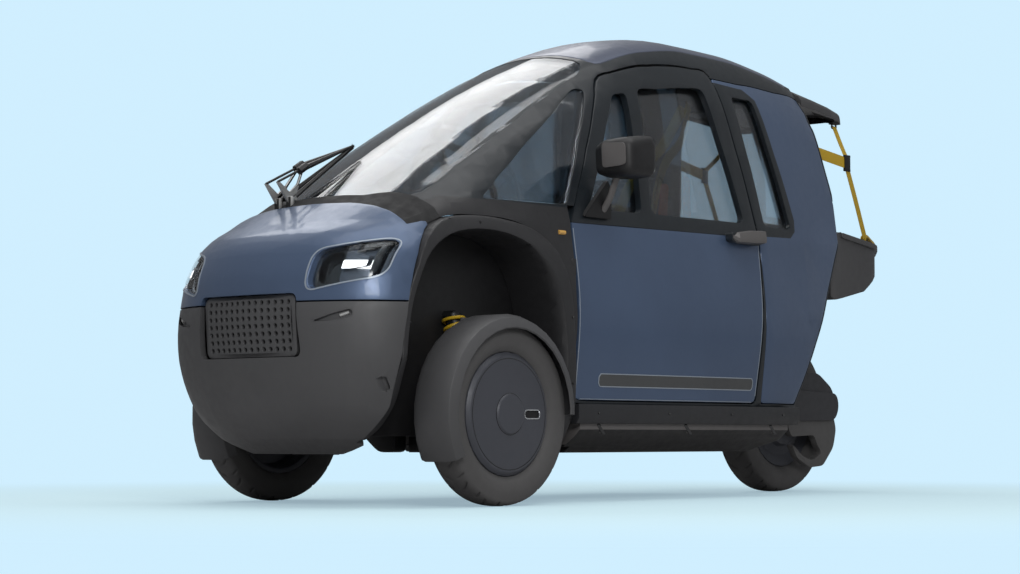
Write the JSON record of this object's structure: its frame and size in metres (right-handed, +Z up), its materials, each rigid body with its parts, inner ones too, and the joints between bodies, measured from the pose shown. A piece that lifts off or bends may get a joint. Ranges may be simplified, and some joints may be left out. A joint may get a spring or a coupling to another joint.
{
  "type": "electric microcar",
  "caption": "Narrow enclosed electric microcar with doors, tandem seats, steered front wheels, one rear wheel, a tail hatch and a drop-down tail tray.",
  "frame": {"origin": "centre of the footprint of the whole vehicle, on the ground", "axes": "+X forward, +Y to the left, +Z up"},
  "size_m": [3.0248, 1.18, 1.55],
  "materials": {
    "blue": "metallic blue paint",
    "dark": "moulded-in grain",
    "disc": "satin slate",
    "frame_black": "powder coat",
    "glass": "clear safety glazing",
    "gloss": "gloss black",
    "grey": "moulded grey",
    "roof": "metallic blue-grey paint",
    "seat": "woven cover",
    "tyre": "moulded rubber",
    "web": "woven webbing",
    "yellow": "yellow powder coat"
  },
  "bodies": {
    "chassis": {"roof_panel": "roof", "windscreen": "glass", "quarter_glass_left": "glass", "quarter_glass_right": "glass", "rear_quarter_left": "blue", "rear_quarter_right": "blue", "rear_quarter_glass_left": "glass", "rear_quarter_glass_right": "glass", "nose_panel": "blue", "bumper": "dark", "headlamp_lens_left": "glass", "headlamp_lens_right": "glass", "headlamp_left": "grey", "headlamp_right": "grey", "grille": "dark", "fender_left": "dark", "fender_right": "dark", "floor_tub": "frame_black", "battery_box_left": "grey", "battery_box_right": "grey", "cabin_frame": "dark", "front_seat": "seat", "rear_seat": "seat", "dashboard": "dark", "cowl": "gloss", "wiper": "dark", "swing_arm": "dark", "rear_hugger": "dark", "rear_shock": "yellow", "strap_left": "web", "strap_right": "web", "suspension_left": "frame_black", "suspension_right": "frame_black"},
    "steer_left": {"knuckle_left": "frame_black"},
    "steer_right": {"knuckle_right": "frame_black"},
    "wheel_left": {"front_tyre_left": "tyre", "front_wheel_left": "disc"},
    "wheel_right": {"front_tyre_right": "tyre", "front_wheel_right": "disc"},
    "wheel_rear": {"rear_tyre": "tyre", "rear_wheel": "disc"},
    "hatch": {"hatch": "dark"},
    "tailgate": {"tailgate": "dark"},
    "handwheel": {"steering_wheel": "dark"},
    "door_left": {"door_left": "blue", "door_frame_left": "dark", "door_glass_left": "glass", "mirror_left": "dark"},
    "door_right": {"door_right": "blue", "door_frame_right": "dark", "door_glass_right": "glass", "mirror_right": "dark"}
  },
  "joints": [
    {"name": "steer_left", "type": "hinge", "parent": "chassis", "child": "steer_left", "pos_m": [0.95293, 0.38, 0.265], "axis": [0, 0, 1], "range_deg": [-22, 22]},
    {"name": "steer_right", "type": "hinge", "parent": "chassis", "child": "steer_right", "pos_m": [0.95293, -0.38, 0.265], "axis": [0, 0, 1], "range_deg": [-22, 22]},
    {"name": "steering_wheel_turn", "type": "hinge", "parent": "chassis", "child": "handwheel", "pos_m": [0.62293, 0, 0.96], "axis": [-0.9048, 0, 0.4258], "range_deg": [-88, 88]},
    {"name": "wheel_left_spin", "type": "hinge", "parent": "steer_left", "child": "wheel_left", "pos_m": [0.95293, 0.465, 0.265], "axis": [0, 1, 0], "continuous": true},
    {"name": "wheel_right_spin", "type": "hinge", "parent": "steer_right", "child": "wheel_right", "pos_m": [0.95293, -0.465, 0.265], "axis": [0, 1, 0], "continuous": true},
    {"name": "wheel_rear_spin", "type": "hinge", "parent": "chassis", "child": "wheel_rear", "pos_m": [-1.12707, 0, 0.282], "axis": [0, 1, 0], "continuous": true},
    {"name": "door_left_swing", "type": "hinge", "parent": "chassis", "child": "door_left", "pos_m": [0.55493, 0.455, 0.6], "axis": [0, 0, -1], "range_deg": [0, 65]},
    {"name": "door_right_swing", "type": "hinge", "parent": "chassis", "child": "door_right", "pos_m": [0.55493, -0.455, 0.6], "axis": [0, 0, 1], "range_deg": [0, 65]},
    {"name": "hatch_lift", "type": "hinge", "parent": "chassis", "child": "hatch", "pos_m": [-0.91907, 0, 1.496], "axis": [0, 1, 0], "range_deg": [-9, 45]},
    {"name": "tailgate_drop", "type": "hinge", "parent": "chassis", "child": "tailgate", "pos_m": [-1.04507, 0, 0.93], "axis": [0, 1, 0], "range_deg": [0, 60], "deforming": ["strap_left", "strap_right"]}
  ],
  "couplings": [
    {"joint": "steer_right", "follows": "steer_left", "ratio": 1},
    {"joint": "steering_wheel_turn", "follows": "steer_left", "ratio": 4}
  ]
}
